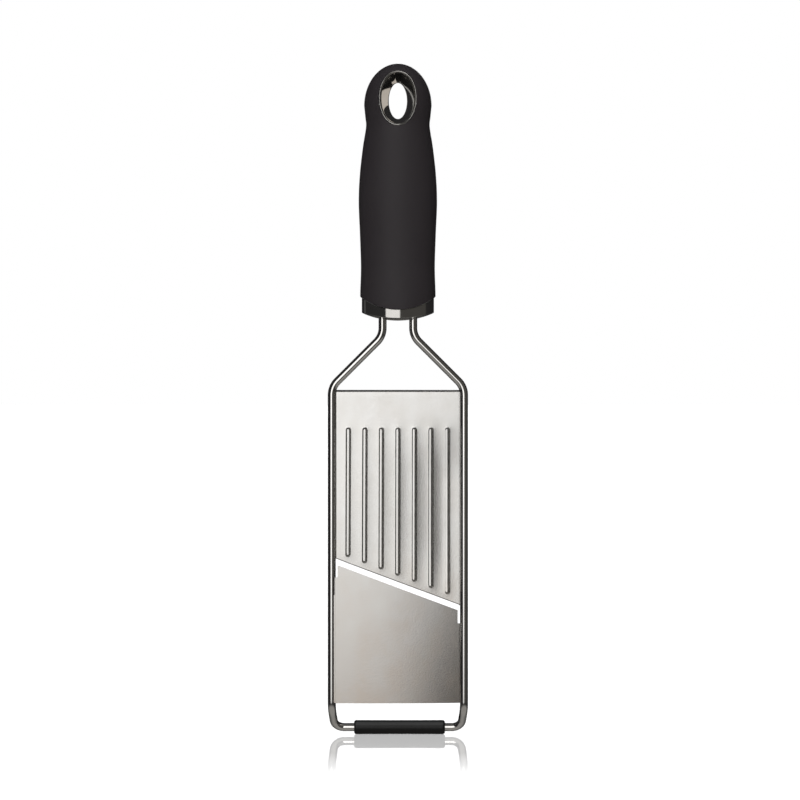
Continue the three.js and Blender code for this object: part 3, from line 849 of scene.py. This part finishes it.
class Material(Nodes):
    """The nodes of a material, from its colour to its relief."""

    def __init__(self, name, colour, roughness, metallic=0.0):
        self.material = bpy.data.materials.new(name)
        self.material.use_nodes = True
        super().__init__(self.material.node_tree)
        self.shader = self.tree.nodes["Principled BSDF"]
        self.shader.inputs["Base Color"].default_value = (*colour, 1)
        self.shader.inputs["Roughness"].default_value = roughness
        self.shader.inputs["Metallic"].default_value = metallic
        self.material.diffuse_color = (*colour, 1)

    def coordinates(self, kind="Object", stretch=(1, 1, 1)):
        """Object or UV coordinates in millimetres, divided by a stretch along each axis."""
        scale = 1 / MM if kind == "Object" else 1
        mapping = self.add("ShaderNodeMapping", Scale=[scale / s for s in stretch])
        self.put(mapping, "Vector", self.add("ShaderNodeTexCoord").outputs[kind])
        return mapping.outputs["Vector"]

    def noise(self, where, size, detail=4.0, roughness=0.6):
        """Noise from 0 to 1 whose lumps are about size millimetres across."""
        node = self.add("ShaderNodeTexNoise", Vector=where, Scale=1 / size, Detail=detail,
                        Roughness=roughness)
        return node.outputs["Fac"]

    def between(self, value, low, high, start=0.3, end=0.7):
        """A number that runs from low to high while the value runs from start to end."""
        node = self.add("ShaderNodeMapRange", Value=value, From_Min=start, From_Max=end,
                        To_Min=low, To_Max=high)
        return node.outputs["Result"]

    def blend(self, value, first, second):
        """A mix of two colours, each of them plain or another node's output."""
        node = self.add("ShaderNodeMix")
        node.data_type = "RGBA"
        self.put(node, "Factor", value)
        for socket, colour in zip(MIX_COLOURS, (first, second)):
            self.put(node, socket, (*colour, 1) if isinstance(colour, tuple) else colour)
        return node.outputs[MIX_RESULT]

    def bump(self, height, distance, normal=None):
        """Relief up to distance millimetres high, over the relief that normal already has."""
        node = self.add("ShaderNodeBump", Height=height, Strength=1.0, Distance=distance * MM)
        if normal is not None:
            self.put(node, "Normal", normal)
        return node.outputs["Normal"]

    def finish(self, **inputs):
        """Links or sets the shader's inputs, and gives back the material."""
        for key, value in inputs.items():
            self.put(self.shader, key.replace("_", " "), value)
        return self.material


def polished_wire():
    """Bright drawn wire, with faint lines along its length."""
    m = Material("polished_wire", (0.74, 0.73, 0.71), roughness=0.1, metallic=1.0)
    drawn = m.noise(m.coordinates("UV", (0.12, 40, 1)), size=1, detail=3)
    cloud = m.noise(m.coordinates(), size=9, detail=3)
    tone = m.blend(m.between(cloud, 0, 1), (0.72, 0.71, 0.69), (0.77, 0.76, 0.74))
    return m.finish(Base_Color=tone, Roughness=m.between(drawn, 0.07, 0.12),
                    Normal=m.bump(drawn, 0.0005))


def sheet_steel():
    """Satin sheet with a fine grain across it. It gets a little warmer downwards, in soft patches."""
    m = Material("sheet_steel", (0.64, 0.63, 0.61), roughness=0.22, metallic=1.0)
    grain = m.noise(m.coordinates(stretch=(3.5, 0.14, 0.14)), size=1, detail=3)
    upright = m.noise(m.coordinates(stretch=(0.3, 0.3, 5)), size=1, detail=3)
    speckle = m.noise(m.coordinates(), size=0.9, detail=3)
    cloud = m.noise(m.coordinates(stretch=(1, 1, 1.6)), size=11, detail=9, roughness=0.68)
    height = m.add("ShaderNodeSeparateXYZ", Vector=m.coordinates()).outputs["Z"]
    warmth = m.between(height, 1, 0, FOOT_Z + 20, FOOT_Z + 95)
    cool = m.blend(warmth, (0.645, 0.64, 0.628), (0.645, 0.612, 0.575))
    warm = m.blend(warmth, (0.645, 0.632, 0.612), (0.655, 0.597, 0.54))
    tone = m.blend(m.between(cloud, 0, 1, 0.4, 0.65), cool, warm)
    fine = m.bump(grain, 0.004)
    fine = m.bump(upright, 0.004, normal=fine)
    return m.finish(Base_Color=tone, Roughness=m.between(cloud, 0.2, 0.24),
                    Normal=m.bump(speckle, 0.012, normal=fine))


def grip_rubber():
    """Soft-touch black with a very fine grain."""
    m = Material("grip_rubber", (0.057, 0.050, 0.056), roughness=0.58)
    m.shader.inputs["Specular IOR Level"].default_value = 0.35
    grain = m.noise(m.coordinates(), size=0.16, detail=2)
    cloud = m.noise(m.coordinates(), size=14)
    tone = m.blend(m.between(cloud, 0, 1), (0.055, 0.048, 0.054), (0.059, 0.052, 0.058))
    return m.finish(Base_Color=tone, Roughness=m.between(cloud, 0.54, 0.62),
                    Normal=m.bump(grain, 0.012))


def sleeve_rubber():
    """Deep black rubber, with faint rings round the tube."""
    m = Material("sleeve_rubber", (0.006, 0.006, 0.006), roughness=0.4)
    m.shader.inputs["Specular IOR Level"].default_value = 0.35
    rings = m.noise(m.coordinates(stretch=(0.5, 6, 6)), size=1, detail=3)
    grain = m.noise(m.coordinates(), size=0.2, detail=3)
    fine = m.bump(grain, 0.012)
    return m.finish(Roughness=m.between(rings, 0.36, 0.45), Normal=m.bump(rings, 0.01, normal=fine))


def bright_trim():
    """Mirror-bright plating with faint smears."""
    m = Material("bright_trim", (0.5, 0.49, 0.47), roughness=0.06, metallic=0.88)
    smear = m.noise(m.coordinates(), size=5)
    tone = m.blend(m.between(smear, 0, 1), (0.49, 0.48, 0.46), (0.53, 0.52, 0.50))
    haze = m.noise(m.coordinates(), size=1.2, detail=2)
    return m.finish(Base_Color=tone, Roughness=m.between(smear, 0.04, 0.09),
                    Normal=m.bump(haze, 0.002))


def core_plastic():
    """Hard black moulding, inside the grip."""
    m = Material("core_plastic", (0.03, 0.03, 0.032), roughness=0.5)
    spark = m.noise(m.coordinates(), size=0.3, detail=3)
    cloud = m.noise(m.coordinates(), size=12, detail=3)
    return m.finish(Roughness=m.between(cloud, 0.45, 0.6), Normal=m.bump(spark, 0.02))


def anchor_steel():
    """Plain stamped steel, inside the handle."""
    m = Material("anchor_steel", (0.45, 0.45, 0.45), roughness=0.35, metallic=1.0)
    grain = m.noise(m.coordinates(stretch=(4, 0.15, 0.15)), size=1, detail=3)
    return m.finish(Roughness=m.between(grain, 0.28, 0.42), Normal=m.bump(grain, 0.006))


# ---- studio floor and lights

FLOOR_WHITE = 0.9
FLOOR_LIGHT = 1.12  # brightness of the lit floor, where 1 is white
GLOSS_AHEAD = 0.02  # metres from the wire frame forwards to the middle of the glossy patch
GLOSS_WIDTH = 2.5  # the patch's width as a multiple of its depth
GLOSS_FADE = (0.025, 0.085)  # metres from its middle to where the gloss starts to fade, and ends
GLOSS_SHARE = 0.6

# Small cards of light behind the hole's waist, which only the front of the liner mirrors
RING_CARDS = [
    # name, place in millimetres, way it faces, width and height in millimetres, colour
    ("ring_card", (2.3, 3, 2.3), (-0.85, -0.53, 0), (4.2, 4.8), (0.82, 0.75, 0.67)),
    ("ring_edge_card", (-3.1, 3, 2.8), (0.85, -0.53, 0), (0.6, 6), (0.5, 0.49, 0.47)),
]


def studio_floor():
    """A wide white floor at the foot, a little glossy just in front of the object."""
    half = 60000  # far enough to meet the white surroundings out of sight
    corners = [(x * half, y * half, FOOT_Z) for x, y in ((-1, -1), (1, -1), (1, 1), (-1, 1))]
    floor = mesh_object("studio_floor", corners, [(0, 1, 2, 3)])
    m = Material("studio_floor", (FLOOR_WHITE,) * 3, roughness=0.5)
    diffuse = m.add("ShaderNodeBsdfDiffuse", Color=(FLOOR_WHITE,) * 3 + (1,))
    gloss = m.add("ShaderNodeBsdfGlossy", Color=(1, 1, 1, 1), Roughness=0.04)
    spot = m.add("ShaderNodeMapping", Vector=m.add("ShaderNodeTexCoord").outputs["Object"],
                 Location=(0, GLOSS_AHEAD, -FOOT_Z * MM), Scale=(1 / GLOSS_WIDTH, 1, 1))
    away = m.add("ShaderNodeVectorMath", Vector=spot.outputs["Vector"])
    away.operation = "LENGTH"
    share = m.between(away.outputs["Value"], GLOSS_SHARE, 0.0, *GLOSS_FADE)
    m.put(m.tree.nodes["Material Output"], "Surface", m.mixed(share, diffuse, gloss))
    floor.data.materials.append(m.material)
    floor.visible_glossy = False
    floor.visible_diffuse = False
    return floor


def linked_light(name, kind, energy, place, *lit):
    """A light that shines only on the given objects, from place towards the hanging hole."""
    data = bpy.data.lights.new(name, kind)
    data.energy = energy
    data.use_shadow = False
    light = scene_object(name, data)
    light.location = place
    light.rotation_euler = Vector(place).to_track_quat("Z", "Y").to_euler()
    group = bpy.data.collections.new(name + "_lights")
    for piece in lit:
        group.objects.link(piece)
    light.light_linking.receiver_collection = group
    light.visible_camera = False
    return light


def sun(name, energy, place, spread, *lit):
    """A linked sun, whose light comes from a disc that is spread degrees wide."""
    light = linked_light(name, "SUN", energy, place, *lit)
    light.data.angle = math.radians(spread)
    return light


def direction(azimuth, elevation):
    """The way to an azimuth from the camera's side towards +X, and an elevation, both in degrees."""
    a, e = math.radians(azimuth), math.radians(elevation)
    return math.cos(e) * math.sin(a), -math.cos(e) * math.cos(a), math.sin(e)


def floor_lights(floor):
    """One light that the floor shows and one that it mirrors: a white dome."""
    overhead = (0, 0, 1)
    shown = sun("floor_light", math.pi * FLOOR_LIGHT / FLOOR_WHITE, overhead, 80, floor)
    shown.visible_glossy = False
    dome = sun("floor_dome", math.pi, overhead, 179, floor)
    dome.data.use_shadow = True
    dome.visible_diffuse = False


def ring_cards(liner):
    """The small lights that only the liner mirrors."""
    for name, place, facing, size, colour in RING_CARDS:
        width, height = np.array(size) * MM
        card = linked_light(name, "AREA", math.pi * width * height, Vector(place) * MM, liner)
        card.rotation_euler = (-Vector(facing)).to_track_quat("Z", "Y").to_euler()
        card.data.shape = "RECTANGLE"
        card.data.size, card.data.size_y = width, height
        card.data.color = colour


# ---- surroundings and camera

# Panels of light round the object: directions in degrees, azimuth from the camera's side towards +X
PANELS = [
    # azimuths, elevations, edge softness across and up, colour
    ((-30, 5), (-10, 40), (1.5, 9), (1.54, 1.525, 1.50)),  # main softbox
    ((-124, -113), (-30, 50), (3, 8), (0.10, 0.10, 0.10)),
    ((5, 85), (-12, 60), (4, 8), (0.055, 0.052, 0.045)),
    ((-200, 220), (62, 120), (4, 10), (0.10, 0.10, 0.10)),  # dim light overhead
]
PAST_BACK = 150  # panels that reach past this azimuth are measured on beyond 180 degrees
SURROUND = (0.022, 0.021, 0.022)
LOWER_FRONT = (0.30, 0.29, 0.275)
LOWER_BACK = (0.12, 0.12, 0.115)
LOWER_EDGE = (-23, 8)  # elevation of the lower part's upper edge, and its softness
LENS = 85
SENSOR = 36
CAMERA_PLACE = (1.02, -913, -144.5)  # square on to the slicing face, level with the object's middle


def studio_world():
    """Dark surroundings, paler below, with panels of light. The camera itself sees plain white."""
    world = bpy.data.worlds.new("studio")
    bpy.context.scene.world = world
    world.use_nodes = True
    world.node_tree.nodes.clear()
    w = Nodes(world.node_tree)
    place = w.add("ShaderNodeTexCoord").outputs["Generated"]
    x, y, z = w.add("ShaderNodeSeparateXYZ", Vector=place).outputs
    degrees = 180 / math.pi
    azimuth = w.maths("MULTIPLY", w.maths("ARCTAN2", x, w.maths("MULTIPLY", y, -1.0)), degrees)
    wrapped = w.maths("LESS_THAN", azimuth, -PAST_BACK)
    behind = w.maths("ADD", azimuth, w.maths("MULTIPLY", wrapped, 360.0))
    elevation = w.maths("MULTIPLY", w.maths("ARCSINE", z), degrees)

    below = w.step(elevation, *LOWER_EDGE, falling=True)
    back = w.step(y, 0.0, 0.3)
    front = w.maths("SUBTRACT", 1.0, back)
    parts = [
        (LOWER_FRONT, w.maths("MULTIPLY", below, front)),
        (LOWER_BACK, w.maths("MULTIPLY", below, back)),
        (SURROUND, w.maths("SUBTRACT", 1.0, below)),
    ]
    for (left, right), (low, high), (soft_side, soft_up), colour in PANELS:
        turn = behind if right > PAST_BACK else azimuth
        inside = w.maths("MULTIPLY", w.step(turn, left, soft_side), w.step(turn, right, soft_side, True))
        inside = w.maths("MULTIPLY", inside, w.step(elevation, low, soft_up))
        inside = w.maths("MULTIPLY", inside, w.step(elevation, high, soft_up, True))
        parts.append((colour, inside))
    light = (0, 0, 0)
    for colour, share in parts:
        light = w.maths("MULTIPLY_ADD", colour, share, light, kind="ShaderNodeVectorMath")

    around = w.add("ShaderNodeBackground", Color=light)
    white = w.add("ShaderNodeBackground", Color=(1, 1, 1, 1))
    camera_ray = w.add("ShaderNodeLightPath").outputs["Is Camera Ray"]
    w.add("ShaderNodeOutputWorld", Surface=w.mixed(camera_ray, around, white))


def camera():
    """A level camera that looks along +Y."""
    data = bpy.data.cameras.new("camera")
    data.lens = LENS
    data.sensor_width = SENSOR
    seen_from = scene_object("camera", data)
    seen_from.location = Vector(CAMERA_PLACE) * MM
    seen_from.rotation_euler = (math.radians(90), 0, 0)
    bpy.context.scene.camera = seen_from


# ---- build

wire_steel = polished_wire()
plate_steel = sheet_steel()
trim = bright_trim()
core = core_plastic()

wire_frame(wire_steel)
sleeve = foot_sleeve(sleeve_rubber())
ramp = ramp_plate(plate_steel)
blade = blade_plate(plate_steel)
grip = soft_grip(grip_rubber())
collar(trim)
neck_plug(trim)
front_ring = hang_ring("hang_ring_front_fine", "hang_ring_front", -1, trim)
back_ring = hang_ring("hang_ring_back_fine", "hang_ring_back", 1, trim)
back_ring.visible_glossy = False  # it would hide the cards from the front liner

for node, material, slot in (
    ("core_front_shell", core, "core_plastic"),
    ("core_back_shell", core, "core_plastic"),
    ("anchor_plate", anchor_steel(), "anchor_steel"),
):
    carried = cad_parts[node]
    carried.data.materials.clear()
    carried.data.materials.append(material)

floor_lights(studio_floor())
sun("back_light", 1.0, direction(140, 25), 70, ramp, blade)
sun("grip_back_light", 0.8, direction(176, 15), 30, grip)
sun("top_light", 1.7, direction(-20, 72), 50, sleeve)
sun("grip_light", 0.4, direction(0, 60), 80, grip)
ring_cards(front_ring)
studio_world()
camera()
bpy.context.scene.view_settings.view_transform = "Standard"
bpy.context.scene.view_settings.look = "None"
